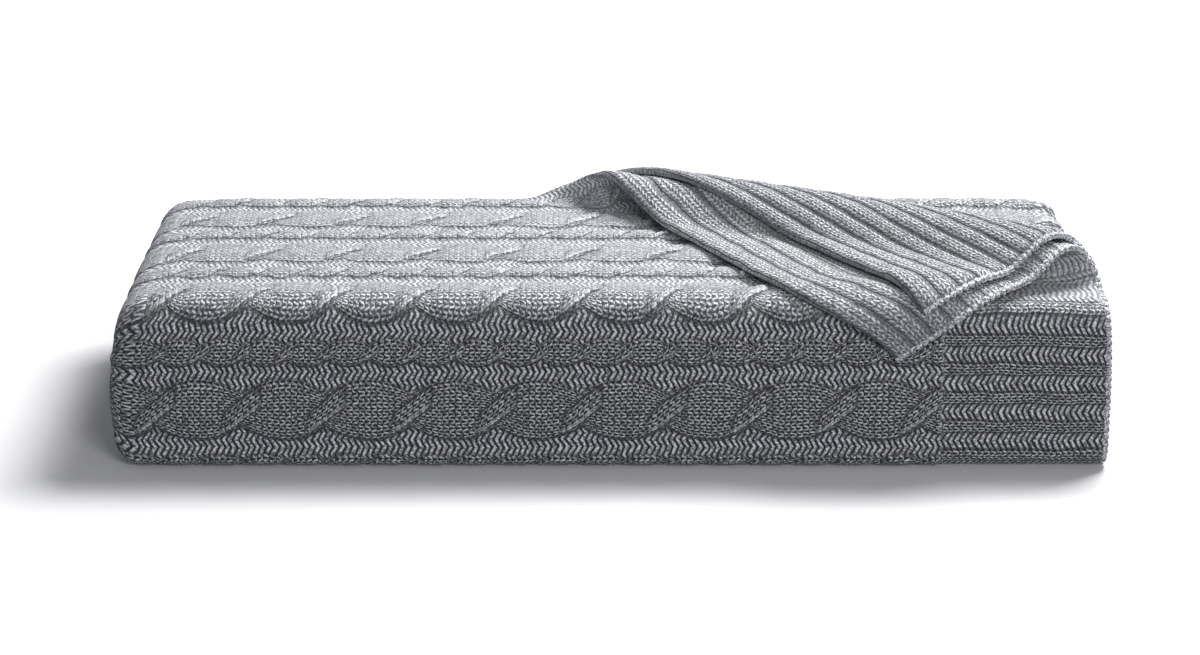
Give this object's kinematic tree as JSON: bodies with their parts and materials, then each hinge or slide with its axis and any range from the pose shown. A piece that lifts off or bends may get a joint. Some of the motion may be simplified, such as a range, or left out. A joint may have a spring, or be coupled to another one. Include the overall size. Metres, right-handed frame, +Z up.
{
  "type": "cable knit throw",
  "caption": "Soft grey cable knit throw with ribbed ends, folded to a neat stack, one corner of the top turned over to show the ribs.",
  "frame": {"origin": "bottom centre of the whole folded throw, on the surface it rests on", "axes": "+X towards the ribbed end of the outer layers, -Y the folded front edge, +Z up through the pile of layers"},
  "size_m": [0.594, 0.2804, 0.1422],
  "materials": {
    "knit": "soft matte heathered yarn in cable knit"
  },
  "bodies": {
    "root": {"throw": "knit"}
  },
  "joints": []
}
